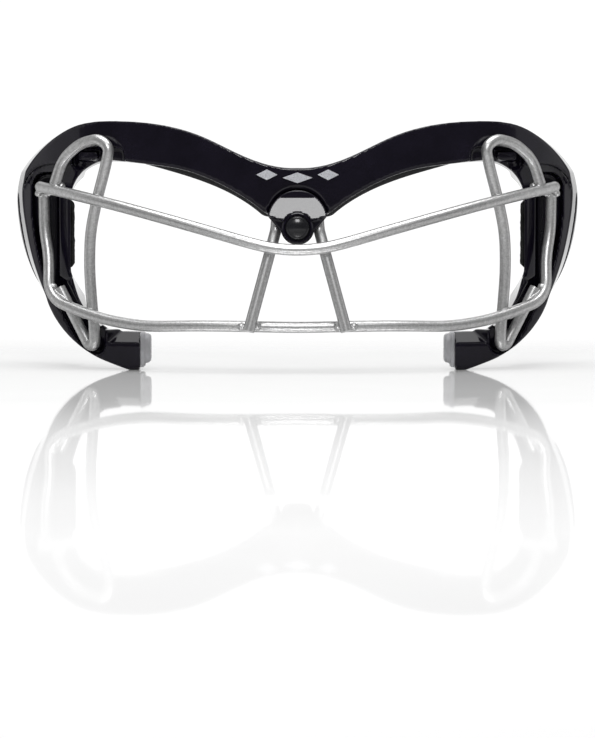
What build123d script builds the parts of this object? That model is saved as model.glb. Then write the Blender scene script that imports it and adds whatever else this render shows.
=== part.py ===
"""Sports protective goggles: a one-piece moulded face frame with foam and silicone pads, and a
welded steel wire cage that swivels a little on one fastener at the bridge.

Frame of reference, in millimetres: +X to the right of someone who looks at the front, +Z up, the
front faces -Y.  The origin is under the middle of the object, at the height of its two feet.
The dimensions below use a y that is depth_middle and a z that is sole_level above the final ones.
"""
from build123d import *
from math import cos, radians, sin, sqrt, tan
import os

# ---- driving dimensions -------------------------------------------------------------------
# Wrap: the frame and the wires all follow circles seen from above, so y = front + sagitta(x).
face_front, face_radius = -22.0, 110.0  # front face of the frame
inner_front, inner_radius = -17.0, 89.4  # back of the brow and of the feet
loop_front, loop_radius = -24.4, 112.4  # side loops, just in front of the face
upper_front, upper_radius = -29.0, 105.5  # upper bar
lower_front, lower_radius = -27.0, 118.0  # lower bar

wire_diameter = 3.2
weld_sink = 0.1  # how far two welded wires run into each other
side_flare, foot_flare = 0.21, 0.09  # how fast the sides and the feet spread towards the back
opening_flare = 0.12  # the same for the eye side of the channels

frame_back = 38.0  # back end of the side wings
depth_middle = 3.5  # middle of the whole object's depth, which is moved onto y = 0 at the end
sole_level = 0.8  # height of the soles, which is moved onto z = 0 at the end
frame_height = 76.0  # a little more than the frame's own height
loft_front = -24.0  # plane in front of the whole face
web_front, web_back = 20.0, 22.5  # the wall behind each side channel
channel_wall, wing_thickness = 3.3, 4.2  # wall on the eye side of a channel; a wing's own wall

pin_height = 41.3  # swivel axis, parallel to Y
pin_radius = 1.5
pin_clearance = 0.03
bush_radius = 2.2
arch_centre = 43.5  # centre height of the round recess and of the hub's fan
fan_radius = 8.3
arch_gap, arch_rim = 0.3, 0.45  # gap round the fan, and how far the recess widens in front
tongue_radius = 4.7
tongue_front, tongue_back = -19.4, -17.0
tab_front, tab_back = -21.0, -19.8
hub_back, hub_front = -24.4, -25.6
collar_seat = hub_front - 0.4
button_radius, collar_radius = 3.4, 4.25
running_gap = 0.2

backing_thickness, brow_pad_thickness = 2.5, 6.0
side_pad_thickness = 1.1
side_pad_foot, side_pad_top = 30.0, 50.0
opening_side, opening_corner = 66.0, 11.0  # side wall of each eye opening, its upper corner
opening_top, opening_droop = 61.4, 0.07  # its top, which comes down towards the back
foot_end = 45.0
slot_height, slot_width, slot_middle = 27.0, 4.8, 38.5  # strap slots


# ---- helpers ------------------------------------------------------------------------------
def sagitta(x, radius):
    """How far a circle of this radius falls back at a distance x from its middle."""
    return radius - sqrt(radius**2 - x**2)


def face_y(x):
    """Depth of the frame's front face."""
    return face_front + sagitta(x, face_radius)


def loop_y(x):
    """Depth of the centre line of a side loop."""
    return loop_front + sagitta(x, loop_radius)


def upper_y(x):
    """Depth of the centre line of the upper bar."""
    return upper_front + sagitta(x, upper_radius)


def lower_y(x):
    """Depth of the centre line of the lower bar."""
    return lower_front + sagitta(x, lower_radius)


def bend_radii(points):
    """One large tangent bend radius for each inner point of a wire's route."""
    vectors = [Vector(point) for point in points]
    radii = []
    for before, here, after in zip(vectors, vectors[1:], vectors[2:]):
        run_in, run_out = here - before, after - here
        half_turn = radians(run_in.get_angle(run_out) / 2)
        radii.append(0.45 * min(run_in.length, run_out.length) / tan(half_turn))
    return radii


def bent_wire(points, radii=None):
    """Add a round wire along straight runs joined by tangent arcs to the part being built."""
    with BuildLine() as route:
        FilletPolyline(*points, radius=radii or bend_radii(points))
    path = route.wires()[0]
    with BuildSketch(Plane(origin=path @ 0, z_dir=path % 0)) as section:
        Circle(wire_diameter / 2)
    sweep(section.sketch, path=path)


def both_sides(points):
    """A symmetrical route from the left end to the right end, from its right half."""
    left = [(-x, y, z) for x, y, z in reversed(points)]
    return left[:-1] + points if points[0][0] == 0 else left + points


def front_plane(y):
    """A plane that faces the viewer at depth y; its own x and y are the object's X and Z."""
    return Plane.XZ.offset(-y)


def finish(part, name):
    """Move a finished sub-part so that the object stands on and over the origin, and write it."""
    placed = part.moved(Location((0, -depth_middle, -sole_level)))
    placed.label = name
    export_step(placed, f"parts/{name}.step")


# ---- outline of the frame seen from the front, right half -----------------------------------
brow_top = [(0, 58.2), (7, 58.8), (16.6, 62.2), (27.4, 67.4), (39.5, 70.8), (51, 72.1)]
brow_shoulder = [(51, 72.1), (62.9, 71.2), (70.5, 68.1), (76.4, 63.4), (80.4, 58.6)]
side_outer = [(80.4, 58.6), (81.3, 53.0), (80.4, 43.4), (78.1, 32.8), (74.1, 22.0)]
foot_outer = [(74.1, 22.0), (67.8, 11.3), (62.6, 6.9), (57.4, 4.0), (52.8, 2.3), (49.8, 1.3),
              (48.2, sole_level)]
inner_lower = [(opening_side, 29), (64.9, 25.4), (63.1, 20.8), (60.0, 16.2), (55, 12.3)]
brow_lower = [(9.8, 46.1), (20.3, 53.0), (33.4, 58.0), (49.8, 61.3)]


def flared(points, y):
    """Move outline points of the sides outwards in step with how far behind the face y is."""
    moved = []
    for x, z in points:
        share = min(max((x - 57) / 15, 0), 1)
        rise = min(max((z - 18) / 18, 0), 1)
        flare = foot_flare + (side_flare - foot_flare) * rise
        moved.append((x + share * flare * (y - face_y(x)), z))
    return moved


def opening_shift(y):
    """How far the eye side of a channel lies outside opening_side at depth y."""
    return opening_flare * (y - 2)


def frame_outline(y):
    """The whole frame's outline on the plane at depth y."""
    shift = opening_shift(y)
    top = opening_top - opening_droop * (y + 8)
    corner_top = (opening_side - opening_corner + shift, top)
    corner_side = (opening_side + shift, top - opening_corner)
    inner = [(x + shift * max(z - 20, 0) / 9, z) for x, z in inner_lower]
    with BuildSketch(front_plane(y)) as outline:
        with BuildLine():
            Spline(*flared(brow_top + brow_shoulder[1:], y))
            Spline(*flared(side_outer, y))
            Spline(*flared(foot_outer, y))
            Polyline(foot_outer[-1], (foot_end + 0.6, sole_level), (foot_end, sole_level + 0.6),
                     (foot_end, inner[-1][1]), inner[-1])
            Spline(*reversed(inner))
            Line(inner[0], corner_side)
            RadiusArc(corner_side, corner_top, -opening_corner)
            Spline(corner_top, *reversed(brow_lower))
            Polyline(brow_lower[0], (7.0, 44.2), (0, 44.2))
            mirror(about=Plane.YZ)
        make_face()
    return outline.sketch


# ---- face frame: brow, side channels, wings, feet and the bridge tongue -----------------------
def wrapped_cutter(outline, depth):
    """A solid of this outline that reaches from in front of the face to a depth behind it."""
    with BuildPart() as cutter:
        extrude(outline, amount=70)
        with BuildSketch():
            with Locations((0, face_front + face_radius)):
                Circle(face_radius + 40)
                Circle(face_radius - depth, mode=Mode.SUBTRACT)
        extrude(amount=frame_height, mode=Mode.INTERSECT)
    return cutter.part


def lip_step():
    """Outline of the area below the brow's outer ends where the face is set back."""
    with BuildSketch(front_plane(frame_back)) as outline:
        with BuildLine():
            Spline((64, 60.4), (71.5, 60.3), (76.8, 59.2), (79.6, 57.0), (81.6, 53.6))
            Polyline((81.6, 53.6), (92, 50), (92, 21), (74, 21), (62, 30), (62, 58), (64, 60.4))
        make_face()
        mirror(about=Plane.YZ)
    return outline.sketch


def channel_section(side, y):
    """Section at depth y of the channel in a side; its inner edge keeps the wall's thickness."""
    roof, inner_edge = 58.0, opening_side + opening_shift(y) + channel_wall
    outer_edge = [(74.6, 27.0), (77.0, 36.0), (78.6, 48.0), (78.4, 53.5)]
    with BuildSketch(front_plane(y)) as section:
        with BuildLine():
            Polyline((inner_edge, 22.5), (inner_edge, roof), (75.0, roof))
            ThreePointArc((75.0, roof), (77.6, 56.6), outer_edge[-1])
            Spline(*reversed(outer_edge))
            Polyline(outer_edge[0], (72.6, 22.0), (inner_edge, 22.5))
        make_face()
        if side < 0:
            mirror(about=Plane.YZ, mode=Mode.REPLACE)
    return section.sketch


def channel(side):
    """The channel in one side, open to the front."""
    with BuildPart() as hollow:
        loft([channel_section(side, y) for y in (loft_front, web_front)], ruled=True)
    return hollow.part


def loop_groove():
    """Outline of the grooves in the feet around the folded ends of the loops."""
    with BuildSketch(front_plane(frame_back)) as outline:
        with BuildLine():
            Polyline((69.4, 27.4), (74.3, 26.0), (72.6, 21.5))
            Spline((72.6, 21.5), (66.5, 13.2), (62.8, 7.8), (59.0, 5.3))
            ThreePointArc((59.0, 5.3), (56.6, 5.75), (55.6, 8.4))
            Polyline((55.6, 8.4), (55.6, 13.2), (58.6, 13.2), (62.6, 17.6), (67.4, 26.2),
                     (69.4, 27.4))
        make_face()
        mirror(about=Plane.YZ)
    return outline.sketch


def strap_slots():
    """The slots for the strap, near the back ends of the wings."""
    with BuildPart() as slots:
        with BuildSketch(Plane.YZ):
            with Locations((30.8, slot_middle)):
                SlotOverall(slot_height, slot_width, rotation=90)
        extrude(amount=100, both=True)
    return slots.part


def wing_hollow_section(side, y):
    """Section of the space on the head's side of a wing, at depth y."""
    edge = [(x - wing_thickness, z) for x, z in flared(brow_shoulder[3:] + side_outer[1:], y)]
    with BuildSketch(front_plane(y)) as section:
        with BuildLine():
            Spline(*edge)
            Polyline(edge[-1], (60, -2), (50, -2), (50, frame_height), (66, frame_height), edge[0])
        make_face()
        if side < 0:
            mirror(about=Plane.YZ, mode=Mode.REPLACE)
    return section.sketch


def wing_hollow(side):
    """The space on the head's side of a wing, behind the wall at the back of the channel."""
    with BuildPart() as hollow:
        loft([wing_hollow_section(side, y) for y in (web_back, frame_back + 1)], ruled=True)
    return hollow.part


def brow_pockets():
    """Outline of the pockets in the brow behind the tops of the loops, each around a boss."""
    with BuildSketch(front_plane(frame_back)) as outline:
        with Locations((57.5, 61.6), (-57.5, 61.6)):
            RectangleRounded(16, 6, 2.4)
        with Locations((60.4, 62.2), (-60.4, 62.2)):
            RectangleRounded(6.0, 2.6, 1.2, mode=Mode.SUBTRACT)
    return outline.sketch


def foot_wedge(side):
    """A wedge above the sloping top of a foot, which runs down to the front facet."""
    lean = radians(27.6)
    along = Vector(cos(lean), side * sin(lean), 0)
    section = Plane(origin=(side * 50, face_y(50), 0), x_dir=(-along.Y, along.X, 0), z_dir=along)
    with BuildPart() as wedge:
        with BuildSketch(section):
            with BuildLine():
                Polyline((-6, 5.8), (8.6, 12.5), (8.6, 14), (-6, 14), close=True)
            make_face()
        extrude(amount=5.4, both=True)
    return wedge.part


def build_face_frame():
    side_y = inner_front + sagitta(62, inner_radius)
    cutters = [
        wrapped_cutter(lip_step(), 1.6),
        wrapped_cutter(loop_groove(), 6.4),
        wrapped_cutter(brow_pockets(), 2.6),
        strap_slots(),
        foot_wedge(1),
        foot_wedge(-1),
        channel(1),
        channel(-1),
        wing_hollow(1),
        wing_hollow(-1),
    ]
    with BuildPart() as face_frame:
        loft([frame_outline(loft_front), frame_outline(frame_back)], ruled=True)

        # Seen from above: the wrap of the face in front, the brow, the channels and the wings.
        with BuildSketch():
            with BuildLine():
                ThreePointArc((0, face_front), (60, face_y(60)), (92, face_y(92)))
                Polyline((92, face_y(92)), (92, frame_back), (64, frame_back), (64, web_back),
                         (62, side_y))
                ThreePointArc((62, side_y), (40, inner_front + sagitta(40, inner_radius)),
                              (0, inner_front))
                mirror(about=Plane.YZ)
            make_face()
        extrude(amount=frame_height, mode=Mode.INTERSECT)

        # Seen from the side: bevelled soles, and wings with rounded ends.
        with BuildSketch(Plane.YZ.offset(-95)):
            with BuildLine():
                Polyline((-26, frame_height), (-26, 1.5), (-12.4, 1.5), (-9.5, sole_level),
                         (3, sole_level))
                Spline((3, sole_level), (15, 5), (26, 16), (35, 27))
                ThreePointArc((35, 27), (frame_back, 39), (35, 53))
                Spline((35, 53), (24, 63), (10, 71), (-4, frame_height))
                Line((-4, frame_height), (-26, frame_height))
            make_face()
        extrude(amount=190, mode=Mode.INTERSECT)

        add(cutters, mode=Mode.SUBTRACT)

        # Round recess for the hub, and the tongue behind it with the bore for the bush.
        with BuildSketch(front_plane(tongue_front)):
            with Locations((0, arch_centre)):
                Circle(fan_radius + arch_gap)
        extrude(amount=8, mode=Mode.SUBTRACT)
        with Locations(Location((0, face_front + 0.3, arch_centre), (90, 0, 0))):
            Cone(fan_radius + arch_gap, fan_radius + arch_gap + arch_rim, 1.0, mode=Mode.SUBTRACT)
        with BuildSketch(front_plane(tongue_front)):
            with BuildLine():
                Polyline((-tongue_radius, pin_height), (-5.6, 46), (5.6, 46),
                         (tongue_radius, pin_height))
                ThreePointArc((tongue_radius, pin_height), (0, pin_height - tongue_radius),
                              (-tongue_radius, pin_height))
            make_face()
        extrude(amount=tongue_front - tongue_back)
        with BuildSketch(front_plane(tongue_front)):
            with Locations((0, pin_height)):
                Circle(bush_radius)
        extrude(amount=tongue_front - tongue_back, mode=Mode.SUBTRACT)
    finish(face_frame.part, "face_frame")


# ---- soft parts and trim of the frame -------------------------------------------------------
def brow_layer(name, front, front_radius, thickness, top_inset, lower_drop, half_length):
    """A layer behind the brow: a strip of the brow's outline between two wrap circles."""
    with BuildPart() as layer:
        with BuildSketch(front_plane(frame_back)):
            with BuildLine():
                upper = [(x, z - top_inset) for x, z in brow_top]
                end = brow_lower[-1]
                lower = [(x, z - lower_drop) for x, z in brow_lower[:-1]]
                Spline(*upper)
                Polyline(upper[-1], (half_length, end[1] + 3), (end[0], end[1] + 0.4))
                Spline((end[0], end[1] + 0.4), *reversed(lower))
                Polyline(lower[0], (6.0, 44.0), (0, 44.0))
                mirror(about=Plane.YZ)
            make_face()
        extrude(amount=70)
        back, back_radius = front + thickness, front_radius - thickness
        with BuildSketch():
            with BuildLine():
                reach = half_length + 4
                ThreePointArc((-reach, front + sagitta(reach, front_radius)), (0, front),
                              (reach, front + sagitta(reach, front_radius)))
                Line((reach, front + sagitta(reach, front_radius)),
                     (reach, back + sagitta(reach, back_radius)))
                ThreePointArc((reach, back + sagitta(reach, back_radius)), (0, back),
                              (-reach, back + sagitta(reach, back_radius)))
                Line((-reach, back + sagitta(reach, back_radius)),
                     (-reach, front + sagitta(reach, front_radius)))
            make_face()
        extrude(amount=frame_height, mode=Mode.INTERSECT)
        with BuildSketch(front_plane(frame_back)):
            with Locations((0, pin_height)):
                Circle(5.2)
        extrude(amount=70, mode=Mode.SUBTRACT)
    finish(layer.part, name)


def side_pad_section(side, y):
    """Section of a side pad at depth y, against the eye side of the channel."""
    wall = opening_side + opening_shift(y)
    crest = wall - side_pad_thickness
    with BuildSketch(front_plane(y)) as section:
        with BuildLine():
            Polyline((wall, side_pad_foot), (wall, side_pad_top), (crest, side_pad_top - 1.2),
                     (crest, side_pad_foot + 1.2), close=True)
        make_face()
        if side < 0:
            mirror(about=Plane.YZ, mode=Mode.REPLACE)
    return section.sketch


def build_side_pad(side, name):
    """Foam strip on the eye side of a channel."""
    pad_front, pad_back = 4.0, 20.0
    with BuildPart() as side_pad:
        loft([side_pad_section(side, pad_front), side_pad_section(side, pad_back)], ruled=True)
    finish(side_pad.part, name)


def build_cheek_pad(side, name):
    """Silicone cap over the inner end and the back of a foot, with a bulge towards the nose."""
    flange_foot, flange_height = 1.6, 10.0
    bulge_depth, bulge_height, bulge_centre = 6.4, 8.4, (-6.6, 7.0)
    with BuildPart() as cheek_pad:
        with BuildSketch(Plane.XY.offset(flange_foot)):
            with BuildLine():
                Polyline((side * foot_end, -10.9), (side * foot_end, -4.3), (side * 51.6, -0.3),
                         (side * 50.2, 2.2), (side * 45.0, -0.8), (side * 44.0, -2.8),
                         (side * 44.0, -10.5), close=True)
            make_face()
        extrude(amount=flange_height)
        with BuildSketch(Plane.YZ.offset(side * 44.1)):
            with Locations(bulge_centre):
                RectangleRounded(bulge_depth, bulge_height, 1.8)
        extrude(amount=-side * 1.9)
        chamfer(cheek_pad.faces().sort_by(Axis.X)[0 if side > 0 else -1].edges(), length=0.6)
    finish(cheek_pad.part, name)


def build_brow_emblem():
    """Three plain lozenges, thin and curved with the face."""
    with BuildPart() as brow_emblem:
        with BuildSketch(front_plane(0)):
            for x, width in ((-8.6, 6.0), (0, 8.4), (8.6, 6.0)):
                with Locations((x, 55.4 + abs(x) * 0.1)):
                    Polygon((-width / 2, 0), (0, -1.5), (width / 2, 0), (0, 1.5))
        extrude(amount=30)
        with BuildSketch(Plane.XY.offset(50)):
            with Locations((0, face_front + face_radius)):
                Circle(face_radius + 0.25)
                Circle(face_radius, mode=Mode.SUBTRACT)
        extrude(amount=12, mode=Mode.INTERSECT)
    finish(brow_emblem.part, "brow_emblem")


# ---- wire cage ----------------------------------------------------------------------------
def build_upper_bar():
    heights = [(0, 35.1), (7, 35.6), (14, 37.3), (24, 40.2), (36, 43.6), (49, 47.2), (62, 50.5),
               (74.8, 53.5)]
    with BuildPart() as upper_bar:
        bent_wire(both_sides([(x, upper_y(x), z) for x, z in heights]))
        for side in (1, -1):
            with Locations((side * 74.8, upper_y(74.8), 53.5)):
                Sphere(wire_diameter / 2)
    finish(upper_bar.part, "upper_bar")


def build_lower_bar():
    heights = [(0, 13.6), (14, 13.9), (28, 14.0), (43, 13.6), (54, 15.2), (62.5, 17.7),
               (69.5, 20.3)]
    riser = [(72.3, -0.6, 24.2), (72.4, 2.0, 33.0), (73.9, 4.0, 41.0), (74.0, 4.0, 51.6)]
    with BuildPart() as lower_bar:
        bent_wire(both_sides([(x, lower_y(x), z) for x, z in heights] + riser))
    finish(lower_bar.part, "lower_bar")


def build_nose_upright(side, name):
    top, crossing, foot = 6.0, 7.4, 13.6
    behind = wire_diameter - weld_sink
    tab_seat = tab_front - wire_diameter / 2
    with BuildPart() as nose_upright:
        bent_wire([
            (side * foot, lower_y(foot) - behind, 12.6),
            (side * crossing, upper_y(crossing) + behind, 35.6),
            (side * top, tab_seat, 41.0),
            (side * top * 0.97, tab_seat, 44.2),
        ])
    finish(nose_upright.part, name)


def build_side_loop(side, name):
    arch = [(67.9, 61.4), (62.4, 65.8), (56.8, 66.9), (53.6, 64.4), (54.7, 59.2)]
    upright = [(57.5, 49.2), (59.5, 40.0), (59.8, 29.5), (59.0, 19.0), (58.5, 14.0), (58.2, 7.6)]
    points = [(side * x, loop_y(x), z) for x, z in arch + upright]
    fold_back = (side * 60.4, loop_y(60.4) + 2.4, 7.9)
    points = [(side * 70.3, -1.4, 54.2)] + points + [fold_back, (side * 68.9, -1.9, 24.3)]
    radii = bend_radii(points)
    fold_radius = 1.75
    radii[-2:] = [fold_radius, fold_radius]
    with BuildPart() as side_loop:
        bent_wire(points, radii)
    finish(side_loop.part, name)


def build_weld_beads():
    """Lumps of weld on both sides of each joint between wires, as separate solids of one node."""
    joints = [  # x, y, z of the joint, and half the distance between its two lumps
        (7.4, upper_y(7.4) + 1.5, 35.7, 2.3),
        (13.4, lower_y(13.4) - 1.5, 13.9, 2.3),
        (58.2, upper_y(58.2) + 1.5, 49.4, 2.2),
        (58.8, lower_y(58.8) + 1.5, 16.4, 2.2),
        (66.0, lower_y(66.0) + 1.9, 18.6, 2.1),
        (70.3, upper_y(70.3) + 1.2, 53.8, 2.1),
        (73.9, upper_y(73.9) + 1.0, 51.6, 1.6),
    ]
    with BuildPart() as weld_beads:
        for side in (1, -1):
            for x, y, z, spread in joints:
                with Locations((side * (x - spread), y, z), (side * (x + spread), y, z)):
                    Sphere(1.0)
            with Locations((side * 70.7, -1.2, 24.5)):
                Sphere(1.1)
    finish(weld_beads.part, "weld_beads")


# ---- hub at the bridge ----------------------------------------------------------------------
def disc(radius, front, back, bore=0.0):
    """Add a round disc on the swivel axis between two depths, with an optional bore."""
    with BuildSketch(front_plane(back)) as section:
        with Locations((0, pin_height)):
            Circle(radius)
            if bore:
                Circle(bore, mode=Mode.SUBTRACT)
    extrude(section.sketch, amount=back - front)


def build_bridge_tab():
    """Steel plate between the two uprights, with the hole for the fastener."""
    with BuildPart() as bridge_tab:
        with BuildSketch(front_plane(tab_back)):
            with Locations((0, 42.7)):
                RectangleRounded(14.2, 4.0, 1.5)
            with Locations((0, pin_height)):
                Circle(3.6)
            with Locations((0, pin_height)):
                Circle(pin_radius, mode=Mode.SUBTRACT)
        extrude(amount=tab_back - tab_front)
    finish(bridge_tab.part, "bridge_tab")


def build_bridge_hub():
    """Moulded cap over the tab: a fan in the frame's recess and a round lower end."""
    corner_rise = 1.0
    fan_corner = (sqrt(fan_radius**2 - corner_rise**2), arch_centre + corner_rise)
    with BuildPart() as bridge_hub:
        with BuildSketch(front_plane(hub_back)):
            with BuildLine():
                ThreePointArc((-fan_corner[0], fan_corner[1]), (0, arch_centre + fan_radius),
                              fan_corner)
                Line(fan_corner, (4.6, 40.3))
                ThreePointArc((4.6, 40.3), (0, pin_height - tongue_radius), (-4.6, 40.3))
                Line((-4.6, 40.3), (-fan_corner[0], fan_corner[1]))
            make_face()
        extrude(amount=hub_back - hub_front)
        with BuildSketch(front_plane(hub_front)):
            with BuildLine():
                ThreePointArc((-fan_corner[0], fan_corner[1]), (0, arch_centre + fan_radius),
                              fan_corner)
                Polyline(fan_corner, (3.4, 43.3), (-3.4, 43.3), (-fan_corner[0], fan_corner[1]))
            make_face()
        extrude(amount=hub_front + 28.0)
        with BuildSketch(Plane.YZ.offset(-12)):
            with BuildLine():
                Polyline((-28.0, 43.0), (-26.0, 49.9), (-26.0, 53), (-29, 53), (-29, 43.0),
                         close=True)
            make_face()
        extrude(amount=24, mode=Mode.SUBTRACT)
        with BuildSketch(front_plane(hub_back)):
            with Locations((0, arch_centre)):
                Circle(fan_radius)
                Circle(fan_radius - 0.9, mode=Mode.SUBTRACT)
            with Locations((0, arch_centre - 8)):
                Rectangle(30, 20, mode=Mode.SUBTRACT)
        extrude(amount=hub_back - tab_back)
        disc(3.9, hub_back, tab_front)
        disc(collar_radius, collar_seat, hub_back)
        with BuildSketch(front_plane(collar_seat)):
            with Locations((0, pin_height)):
                Circle(collar_radius)
        extrude(amount=4, mode=Mode.SUBTRACT)
        with BuildSketch(front_plane(tab_back)):
            with Locations((0, pin_height)):
                Circle(pin_radius)
        extrude(amount=12, mode=Mode.SUBTRACT)
    finish(bridge_hub.part, "bridge_hub")


def build_fastener():
    """Collar ring, button with its shank, bush in the tongue, washer and retaining cap."""
    with BuildPart() as hub_collar:
        disc(collar_radius, collar_seat - 1.5, collar_seat, bore=button_radius + 0.15)
        chamfer(hub_collar.edges().group_by(Axis.Y)[0], length=0.25)
    finish(hub_collar.part, "hub_collar")

    washer_front = tongue_back + running_gap
    washer_back = washer_front + 0.6
    with BuildPart() as pivot_button:
        disc(button_radius, collar_seat - 1.6, collar_seat)
        fillet(pivot_button.edges().group_by(Axis.Y)[0], radius=0.7)
        dome_radius, dome_rim, dome_front = 7.0, 2.5, collar_seat - 2.1
        with BuildPart(mode=Mode.PRIVATE) as dome:
            disc(dome_rim, dome_front, collar_seat - 1.2)
            with Locations((0, dome_front + dome_radius, pin_height)):
                Sphere(dome_radius, mode=Mode.INTERSECT)
        add(dome.part)
        disc(pin_radius, collar_seat - 0.5, washer_back + 1.4)
    finish(pivot_button.part, "pivot_button")

    with BuildPart() as pivot_bush:
        disc(bush_radius, tongue_front, tongue_back, bore=pin_radius + pin_clearance)
    finish(pivot_bush.part, "pivot_bush")

    with BuildPart() as pivot_washer:
        disc(3.6, washer_front, washer_back, bore=pin_radius)
    finish(pivot_washer.part, "pivot_washer")

    with BuildPart() as retaining_cap:
        disc(3.0, washer_back, washer_back + 2.0)
        fillet(retaining_cap.edges().group_by(Axis.Y)[-1], radius=0.6)
        with BuildSketch(front_plane(washer_back)):
            with Locations((0, pin_height)):
                Circle(pin_radius)
        extrude(amount=-1.4, mode=Mode.SUBTRACT)
    finish(retaining_cap.part, "retaining_cap")


os.makedirs("parts", exist_ok=True)
build_face_frame()
brow_layer("brow_backing", inner_front, inner_radius, backing_thickness, 2.2, 1.15, 52)
brow_layer("brow_pad", inner_front + backing_thickness, inner_radius - backing_thickness,
           brow_pad_thickness, 4.0, 0.4, 51)
for side, word in ((1, "right"), (-1, "left")):
    build_side_pad(side, f"side_pad_{word}")
    build_cheek_pad(side, f"cheek_pad_{word}")
    build_nose_upright(side, f"nose_upright_{word}")
    build_side_loop(side, f"side_loop_{word}")
build_brow_emblem()
build_upper_bar()
build_lower_bar()
build_weld_beads()
build_bridge_tab()
build_bridge_hub()
build_fastener()
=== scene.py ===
"""Looks, light and camera for a pair of sports protective goggles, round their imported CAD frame."""
import math

import bmesh
import bpy
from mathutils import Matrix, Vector, noise as lattice
from mathutils.kdtree import KDTree


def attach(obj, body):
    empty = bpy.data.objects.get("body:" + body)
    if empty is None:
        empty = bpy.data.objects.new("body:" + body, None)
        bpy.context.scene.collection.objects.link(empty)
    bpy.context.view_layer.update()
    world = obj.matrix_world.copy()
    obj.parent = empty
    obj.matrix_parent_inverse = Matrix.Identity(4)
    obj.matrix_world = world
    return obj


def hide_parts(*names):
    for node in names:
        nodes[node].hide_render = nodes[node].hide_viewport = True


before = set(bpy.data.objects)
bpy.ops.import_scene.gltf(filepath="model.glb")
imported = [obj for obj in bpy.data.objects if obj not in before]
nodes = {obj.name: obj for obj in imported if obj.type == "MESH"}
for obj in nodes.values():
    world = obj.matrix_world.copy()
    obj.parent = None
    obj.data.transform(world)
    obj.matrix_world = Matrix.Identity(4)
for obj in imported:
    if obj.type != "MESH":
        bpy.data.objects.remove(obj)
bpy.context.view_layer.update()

scene = bpy.context.scene
MM = 0.001

# Floor: its size, its own faint light, and its shine from the object (0) towards the camera (1).
FLOOR_RADIUS = 1.2
FLOOR_GLOW = 0.17
SHINE_REACH = 0.5
SHINE = [(0.1, 0.68), (0.28, 0.63), (0.45, 0.43), (0.75, 0.21), (0.95, 0.20)]

# Surroundings: white, with a dark band behind the camera and grey flanks.
WORLD_STRENGTH = 1.05
BAND_TONE = 0.13
FLANK_SHARE = 0.8

# Lights: name, place, aim, size (all in metres) and power in watts.
LIGHTS = [
    ("top_box", (0, -0.05, 0.6), (0, 0.0, 0.03), (0.5, 0.3), 2.2),
    ("hub_box", (0, -0.449, 0.32), (0, -0.030, 0.046), (0.14, 0.07), 0.5),
    ("side_strip", (0.6, 0.0, 0.12), (0, 0, 0.04), (0.3, 0.4), 0.2),
    ("side_strip", (-0.6, 0.0, 0.12), (0, 0, 0.04), (0.3, 0.4), 0.2),
]

CAMERA_PLACE = (0, -643.5 * MM, 35.2 * MM)
CAMERA_LENS, CAMERA_SENSOR = 107.3, 36.0
CAMERA_DIP = 3.17  # degrees below the horizontal

# Welds: half the cube cut out round a joint, the blend's voxels and smoothing, and how far from
# a given point two wires are searched for their meeting.
WELD_HALF, WELD_VOXEL, WELD_ROUNDS = 4.2 * MM, 0.2 * MM, 12
MEETING_REACH = 9 * MM

# Welded joints of one side: name, the two wires, and where to look, in millimetres, if they meet twice.
CROSSINGS = [
    ("nose_top", "upper_bar", "nose_upright", None),
    ("nose_foot", "lower_bar", "nose_upright", None),
    ("loop_top", "upper_bar", "side_loop", (58, -14, 49)),
    ("loop_end", "upper_bar", "side_loop", (70.5, -6, 54)),
    ("loop_foot", "lower_bar", "side_loop", (58.8, -13, 16.4)),
    ("loop_side", "lower_bar", "side_loop", (65.5, -8, 18.6)),
    ("riser_top", "upper_bar", "lower_bar", None),
]


# ---- materials ------------------------------------------------------------------------------
def new_material(name):
    """A material with a Principled shader, its node tree and its object-space coordinates."""
    material = bpy.data.materials.new(name)
    material.use_nodes = True
    tree = material.node_tree
    shader = tree.nodes["Principled BSDF"]
    place = tree.nodes.new("ShaderNodeTexCoord")
    return material, tree, shader, place.outputs["Object"]


def noise(tree, place, grain, detail=3.0, roughness=0.55):
    """Noise whose lumps are about grain metres across."""
    node = tree.nodes.new("ShaderNodeTexNoise")
    node.inputs["Scale"].default_value = 1 / grain
    node.inputs["Detail"].default_value = detail
    node.inputs["Roughness"].default_value = roughness
    tree.links.new(place, node.inputs["Vector"])
    return node.outputs["Fac"]


def cells(tree, place, grain):
    """Voronoi cells about grain metres across: distance and random colour."""
    node = tree.nodes.new("ShaderNodeTexVoronoi")
    node.inputs["Scale"].default_value = 1 / grain
    tree.links.new(place, node.inputs["Vector"])
    return node


def ramp(tree, factor, stops):
    """A colour ramp; each stop is (position, grey or colour)."""
    node = tree.nodes.new("ShaderNodeValToRGB")
    elements = node.color_ramp.elements
    while len(elements) < len(stops):
        elements.new(0.5)
    for element, (position, value) in zip(elements, stops):
        colour = value if hasattr(value, "__len__") else (value, value, value)
        element.position = position
        element.color = (*colour, 1)
    tree.links.new(factor, node.inputs["Fac"])
    return node.outputs["Color"]


def bump(tree, shader, height, depth, strength=1.0):
    """Bump of this depth in metres on the shader's normal."""
    node = tree.nodes.new("ShaderNodeBump")
    node.inputs["Strength"].default_value = strength
    node.inputs["Distance"].default_value = depth
    tree.links.new(height, node.inputs["Height"])
    tree.links.new(node.outputs["Normal"], shader.inputs["Normal"])


def combined(tree, operation, *values):
    """The result of a maths node; each value is a socket or a number."""
    node = tree.nodes.new("ShaderNodeMath")
    node.operation = operation
    for slot, value in zip(node.inputs, values):
        if isinstance(value, (int, float)):
            slot.default_value = value
        else:
            tree.links.new(value, slot)
    return node.outputs["Value"]


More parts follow.
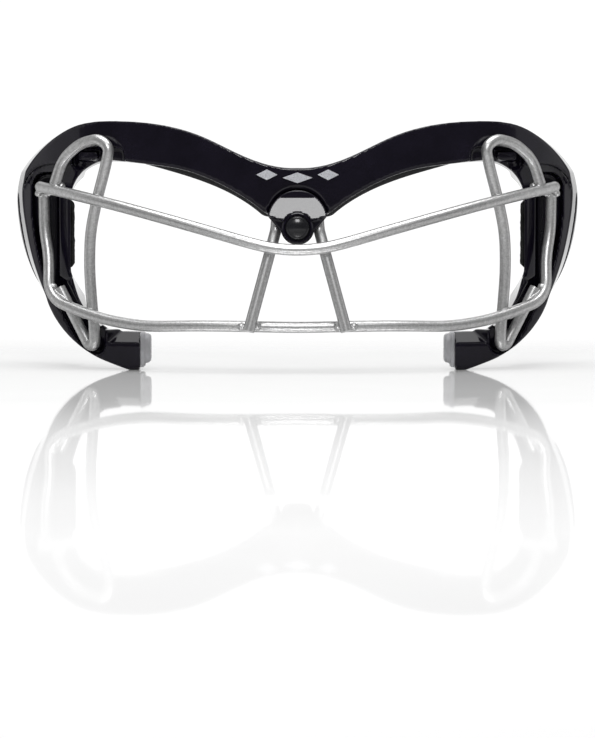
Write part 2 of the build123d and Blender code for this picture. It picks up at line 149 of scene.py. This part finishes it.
def smooth_step(tree, value, low, high):
    """1 at and past high and 0 at and before low, with a soft change between them."""
    node = tree.nodes.new("ShaderNodeMapRange")
    node.interpolation_type = "SMOOTHSTEP"
    node.inputs["From Min"].default_value = low
    node.inputs["From Max"].default_value = high
    tree.links.new(value, node.inputs["Value"])
    return node.outputs["Result"]


def gloss_plastic(name, colour, rough_low, rough_high, ior=1.46):
    """Moulded plastic: slow flow-like unevenness in colour, fine scuffs in roughness."""
    material, tree, shader, place = new_material(name)
    slow = noise(tree, place, 9 * MM, 2.0)
    fine = noise(tree, place, 0.7 * MM, 4.0, 0.6)
    lighter = tuple(1.7 * c + 0.001 for c in colour)
    tree.links.new(ramp(tree, slow, [(0.3, colour), (0.75, lighter)]), shader.inputs["Base Color"])
    tree.links.new(ramp(tree, fine, [(0.3, rough_low), (0.7, rough_high)]),
                   shader.inputs["Roughness"])
    shader.inputs["IOR"].default_value = ior
    bump(tree, shader, slow, 0.02 * MM, 0.4)
    return material


def powder_coat(name, dark, light):
    """Silver powder coat on steel: metal flake sparkle over a slightly lumpy surface."""
    material, tree, shader, place = new_material(name)
    flake = cells(tree, place, 0.2 * MM)
    flake_value = tree.nodes.new("ShaderNodeSeparateColor")
    tree.links.new(flake.outputs["Color"], flake_value.inputs["Color"])
    lumps = noise(tree, place, 0.9 * MM, 4.0, 0.65)
    tone = combined(tree, "MULTIPLY_ADD", flake_value.outputs["Red"], 0.3, lumps)
    tree.links.new(ramp(tree, tone, [(0.3, dark), (0.95, light)]), shader.inputs["Base Color"])
    tree.links.new(ramp(tree, tone, [(0.3, 0.42), (1.0, 0.28)]), shader.inputs["Roughness"])
    shader.inputs["Metallic"].default_value = 0.85
    bump(tree, shader, tone, 0.015 * MM, 0.5)
    return material


def closed_foam(name, colour):
    """Black closed-cell foam: cells, pinholes and a dull surface."""
    material, tree, shader, place = new_material(name)
    cell = cells(tree, place, 0.8 * MM)
    soft = noise(tree, place, 2.5 * MM, 5.0, 0.7)
    tone = combined(tree, "ADD", cell.outputs["Distance"], soft)
    lighter = tuple(3.2 * c for c in colour)
    tree.links.new(ramp(tree, tone, [(0.4, colour), (1.1, lighter)]), shader.inputs["Base Color"])
    tree.links.new(ramp(tree, soft, [(0.3, 0.75), (0.7, 0.95)]), shader.inputs["Roughness"])
    shader.inputs["Specular IOR Level"].default_value = 0.3
    bump(tree, shader, tone, 0.25 * MM, 0.7)
    return material


def silicone(name, colour):
    """Soft moulded silicone: cloudy colour, satin surface with fine grain."""
    material, tree, shader, place = new_material(name)
    cloud = noise(tree, place, 4 * MM, 3.0)
    grain = noise(tree, place, 0.4 * MM, 3.0)
    darker = tuple(0.8 * c for c in colour)
    tree.links.new(ramp(tree, cloud, [(0.3, darker), (0.7, colour)]), shader.inputs["Base Color"])
    tree.links.new(ramp(tree, grain, [(0.3, 0.34), (0.7, 0.48)]), shader.inputs["Roughness"])
    shader.inputs["Subsurface Weight"].default_value = 0.25
    shader.inputs["Subsurface Radius"].default_value = (0.002, 0.002, 0.002)
    shader.inputs["Subsurface Scale"].default_value = 1.0
    bump(tree, shader, grain, 0.03 * MM, 0.5)
    return material


def silver_print(name):
    """Silver hot-stamp print with fine streaks."""
    material, tree, shader, place = new_material(name)
    fine = noise(tree, place, 0.3 * MM, 4.0, 0.7)
    tree.links.new(ramp(tree, fine, [(0.3, (0.55, 0.56, 0.6)), (0.7, (0.85, 0.86, 0.9))]),
                   shader.inputs["Base Color"])
    tree.links.new(ramp(tree, fine, [(0.3, 0.25), (0.7, 0.4)]), shader.inputs["Roughness"])
    shader.inputs["Metallic"].default_value = 0.6
    bump(tree, shader, fine, 0.01 * MM, 0.4)
    return material


black_gloss = gloss_plastic("frame_gloss", (0.0046, 0.0036, 0.0080), 0.06, 0.12, 1.38)
button_gloss = gloss_plastic("button_gloss", (0.008, 0.008, 0.010), 0.12, 0.2)
satin_black = gloss_plastic("satin_black", (0.012, 0.012, 0.013), 0.35, 0.5)
backing_black = gloss_plastic("backing_black", (0.008, 0.008, 0.009), 0.45, 0.6)
bush_nylon = gloss_plastic("bush_nylon", (0.03, 0.03, 0.032), 0.3, 0.45)
wire_silver = powder_coat("wire_silver", 0.40, 0.70)
foam_black = closed_foam("foam_black", (0.006, 0.006, 0.006))
pad_grey = silicone("pad_grey", (0.50, 0.50, 0.52))
emblem_silver = silver_print("emblem_silver")

FINISHES = {
    "face_frame": black_gloss, "brow_backing": backing_black, "brow_pad": foam_black,
    "brow_emblem": emblem_silver, "side_pad_left": foam_black, "side_pad_right": foam_black,
    "cheek_pad_left": pad_grey, "cheek_pad_right": pad_grey, "pivot_bush": bush_nylon,
    "upper_bar": wire_silver, "lower_bar": wire_silver, "nose_upright_left": wire_silver,
    "nose_upright_right": wire_silver, "side_loop_left": wire_silver,
    "side_loop_right": wire_silver, "weld_beads": wire_silver, "bridge_tab": wire_silver,
    "bridge_hub": black_gloss, "hub_collar": black_gloss, "pivot_button": button_gloss,
    "pivot_washer": satin_black, "retaining_cap": satin_black,
}
for name, finish in FINISHES.items():
    mesh = nodes[name].data
    mesh.materials.clear()
    mesh.materials.append(finish)


# ---- rounded moulded edges ---------------------------------------------------------------------
def soften(piece, voxel, rounds):
    """Round every edge of a piece with modifiers, which leave its own mesh unchanged."""
    remesh = piece.modifiers.new("fine_mesh", "REMESH")
    remesh.mode = "VOXEL"
    remesh.voxel_size = voxel
    remesh.use_smooth_shade = True
    smooth = piece.modifiers.new("soft_edges", "SMOOTH")
    smooth.factor = 0.5
    smooth.iterations = rounds


soften(nodes["face_frame"], 0.4 * MM, 6)
soften(nodes["bridge_hub"], 0.2 * MM, 4)
soften(nodes["brow_backing"], 0.5 * MM, 3)


# ---- foam and silicone pads ----------------------------------------------------------------------
def settle(piece):
    """Replace a piece's mesh with what its modifiers make of it."""
    graph = bpy.context.evaluated_depsgraph_get()
    mesh = bpy.data.meshes.new_from_object(piece.evaluated_get(graph))
    piece.modifiers.clear()
    piece.data = mesh


def soft_pad(name, node, finish, voxel, rounds, lumps):
    """A crowned closed pad in the place of a CAD pad: rounded all over, with slow lumps."""
    pad = bpy.data.objects.new(name, nodes[node].data.copy())
    scene.collection.objects.link(pad)
    soften(pad, voxel, rounds)
    settle(pad)
    grain, height = lumps
    for vertex in pad.data.vertices:
        lift = lattice.fractal(vertex.co / grain, 1.0, 2.0, 3)
        vertex.co += vertex.normal * lift * height
    pad.data.materials.clear()
    pad.data.materials.append(finish)
    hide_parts(node)
    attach(pad, "frame")


soft_pad("brow_foam", "brow_pad", foam_black, 0.7 * MM, 9, (6 * MM, 0.12 * MM))
for word in ("left", "right"):
    soft_pad(f"side_foam_{word}", f"side_pad_{word}", foam_black,
             0.35 * MM, 5, (1.6 * MM, 0.22 * MM))
    soft_pad(f"cheek_silicone_{word}", f"cheek_pad_{word}", pad_grey,
             0.3 * MM, 7, (5 * MM, 0.03 * MM))


# ---- welds --------------------------------------------------------------------------------------
def box_cut(build, centre, half):
    """Keep what lies in a cube round centre and close the cut ends."""
    for axis in range(3):
        for sign in (1, -1):
            normal = Vector((0, 0, 0))
            normal[axis] = sign
            everything = build.verts[:] + build.edges[:] + build.faces[:]
            cut = bmesh.ops.bisect_plane(build, geom=everything, plane_co=centre + normal * half,
                                         plane_no=normal, clear_outer=True)
            rim = [e for e in cut["geom_cut"] if isinstance(e, bmesh.types.BMEdge)]
            if rim:
                bmesh.ops.holes_fill(build, edges=rim)


def largest_island(mesh):
    """Delete every separate scrap of a mesh except its largest connected piece."""
    build = bmesh.new()
    build.from_mesh(mesh)
    unseen, islands = set(build.verts), []
    while unseen:
        island, edge_of_growth = set(), [unseen.pop()]
        while edge_of_growth:
            vertex = edge_of_growth.pop()
            island.add(vertex)
            for edge in vertex.link_edges:
                other = edge.other_vert(vertex)
                if other in unseen:
                    unseen.discard(other)
                    edge_of_growth.append(other)
        islands.append(island)
    islands.sort(key=len)
    scraps = [vertex for island in islands[:-1] for vertex in island]
    bmesh.ops.delete(build, geom=scraps, context="VERTS")
    build.to_mesh(mesh)
    build.free()


def merged_copy(node):
    """A node's mesh to cut from, with its doubled vertices merged."""
    build = bmesh.new()
    build.from_mesh(nodes[node].data)
    bmesh.ops.remove_doubles(build, verts=build.verts, dist=1e-6)
    return build


def pour_into(lump, build):
    """Add one bmesh to another and free it."""
    scrap = bpy.data.meshes.new("scrap")
    build.to_mesh(scrap)
    build.free()
    lump.from_mesh(scrap)
    bpy.data.meshes.remove(scrap)


def weld_joint(name, centre, wires):
    """The blended metal where wires are welded, a separate closed lump round each joint."""
    lump = bmesh.new()
    for wire in wires:
        piece = merged_copy(wire)
        box_cut(piece, centre, WELD_HALF)
        pour_into(lump, piece)
    beads = merged_copy("weld_beads")
    far = [v for v in beads.verts if (v.co - centre).length > WELD_HALF]
    bmesh.ops.delete(beads, geom=far, context="VERTS")
    pour_into(lump, beads)
    mesh = bpy.data.meshes.new(name)
    lump.to_mesh(mesh)
    lump.free()
    weld = bpy.data.objects.new(name, mesh)
    scene.collection.objects.link(weld)
    soften(weld, WELD_VOXEL, WELD_ROUNDS)
    mesh.materials.append(wire_silver)
    settle(weld)
    largest_island(weld.data)
    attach(weld, "cage")
    return weld


def meeting(first, second, side, near=None):
    """Where two wires come closest on one side: the middle of their nearest vertices."""
    points = [v.co for v in nodes[second].data.vertices]
    tree = KDTree(len(points))
    for index, point in enumerate(points):
        tree.insert(point, index)
    tree.balance()
    best = None
    for vertex in nodes[first].data.vertices:
        if vertex.co.x * side < 0:
            continue
        if near and (vertex.co - Vector(near)).length > MEETING_REACH:
            continue
        point, _, distance = tree.find(vertex.co)
        if best is None or distance < best[0]:
            best = (distance, (vertex.co + point) / 2)
    return best[1]


# ---- floor, light and camera ------------------------------------------------------------------
def pale_floor():
    """A round pale floor which mirrors the object and fades into the white surroundings."""
    mesh = bpy.data.meshes.new("floor")
    build = bmesh.new()
    bmesh.ops.create_circle(build, cap_ends=True, segments=96, radius=FLOOR_RADIUS)
    build.to_mesh(mesh)
    build.free()
    floor = bpy.data.objects.new("floor", mesh)
    scene.collection.objects.link(floor)
    material, tree, shader, place = new_material("floor_white")
    grain = noise(tree, place, 40 * MM, 2.0)
    tree.links.new(ramp(tree, grain, [(0.3, 0.84), (0.7, 0.86)]), shader.inputs["Base Color"])
    shader.inputs["Roughness"].default_value = 0.9
    shader.inputs["Specular IOR Level"].default_value = 0.0
    shader.inputs["Emission Color"].default_value = (1, 1, 1, 1)
    shader.inputs["Emission Strength"].default_value = FLOOR_GLOW
    polish = tree.nodes.new("ShaderNodeBsdfGlossy")
    polish.inputs["Roughness"].default_value = 0.03
    polished = tree.nodes.new("ShaderNodeMixShader")
    split = tree.nodes.new("ShaderNodeSeparateXYZ")
    tree.links.new(place, split.inputs["Vector"])
    forward = tree.nodes.new("ShaderNodeMapRange")
    forward.inputs["From Min"].default_value = 0.0
    forward.inputs["From Max"].default_value = -SHINE_REACH
    tree.links.new(split.outputs["Y"], forward.inputs["Value"])
    tree.links.new(ramp(tree, forward.outputs["Result"], SHINE), polished.inputs["Fac"])
    tree.links.new(shader.outputs["BSDF"], polished.inputs[1])
    tree.links.new(polish.outputs["BSDF"], polished.inputs[2])
    reach = tree.nodes.new("ShaderNodeVectorMath")
    reach.operation = "LENGTH"
    tree.links.new(place, reach.inputs[0])
    rim = smooth_step(tree, reach.outputs["Value"], 0.4 * FLOOR_RADIUS, 0.98 * FLOOR_RADIUS)
    behind = smooth_step(tree, split.outputs["Y"], 0.04, 0.3)
    clear = tree.nodes.new("ShaderNodeBsdfTransparent")
    fade = tree.nodes.new("ShaderNodeMixShader")
    tree.links.new(combined(tree, "MAXIMUM", rim, behind), fade.inputs["Fac"])
    tree.links.new(polished.outputs["Shader"], fade.inputs[1])
    tree.links.new(clear.outputs["BSDF"], fade.inputs[2])
    tree.links.new(fade.outputs["Shader"], tree.nodes["Material Output"].inputs["Surface"])
    mesh.materials.append(material)


def area_light(name, place, aim, size, power):
    """A rectangular lamp which points at aim."""
    light = bpy.data.lights.new(name, "AREA")
    light.shape = "RECTANGLE"
    light.size, light.size_y = size
    light.energy = power
    lamp = bpy.data.objects.new(name, light)
    lamp.location = place
    lamp.rotation_euler = (Vector(aim) - Vector(place)).to_track_quat("-Z", "Y").to_euler()
    scene.collection.objects.link(lamp)


def studio():
    """White surroundings with a dark band behind the camera, for the glossy black, and grey flanks."""
    world = bpy.data.worlds.new("studio")
    world.use_nodes = True
    tree = world.node_tree
    place = tree.nodes.new("ShaderNodeTexCoord")
    split = tree.nodes.new("ShaderNodeSeparateXYZ")
    tree.links.new(place.outputs["Generated"], split.inputs["Vector"])
    behind_camera = smooth_step(tree, split.outputs["Y"], 0.45, -0.1)
    above_floor = smooth_step(tree, split.outputs["Z"], -0.06, -0.02)
    below_lights = smooth_step(tree, split.outputs["Z"], 0.52, 0.36)
    sideways = combined(tree, "ABSOLUTE", split.outputs["X"])
    level = combined(tree, "MULTIPLY", above_floor, below_lights)
    band = combined(tree, "MULTIPLY", behind_camera, level)
    flank = combined(tree, "MULTIPLY", smooth_step(tree, sideways, 0.2, 0.42), FLANK_SHARE)
    shade = ramp(tree, combined(tree, "MAXIMUM", band, flank), [(0.0, 1.0), (1.0, BAND_TONE)])
    tree.links.new(shade, tree.nodes["Background"].inputs["Color"])
    tree.nodes["Background"].inputs["Strength"].default_value = WORLD_STRENGTH
    scene.world = world
    scene.view_settings.view_transform = "Standard"


camera_data = bpy.data.cameras.new("camera")
camera_data.lens = CAMERA_LENS
camera_data.sensor_width = CAMERA_SENSOR
camera = bpy.data.objects.new("camera", camera_data)
camera.location = CAMERA_PLACE
camera.rotation_euler = (math.radians(90 - CAMERA_DIP), 0, 0)
scene.collection.objects.link(camera)
scene.camera = camera

for side, word in ((1, "right"), (-1, "left")):
    for joint, first, second, look in CROSSINGS:
        wires = [wire if wire in nodes else f"{wire}_{word}" for wire in (first, second)]
        near = look and (side * look[0] * MM, look[1] * MM, look[2] * MM)
        centre = meeting(*wires, side, near)
        weld_joint(f"weld_{joint}_{word}", centre, wires)
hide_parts("weld_beads")

pale_floor()
studio()
for light in LIGHTS:
    area_light(*light)
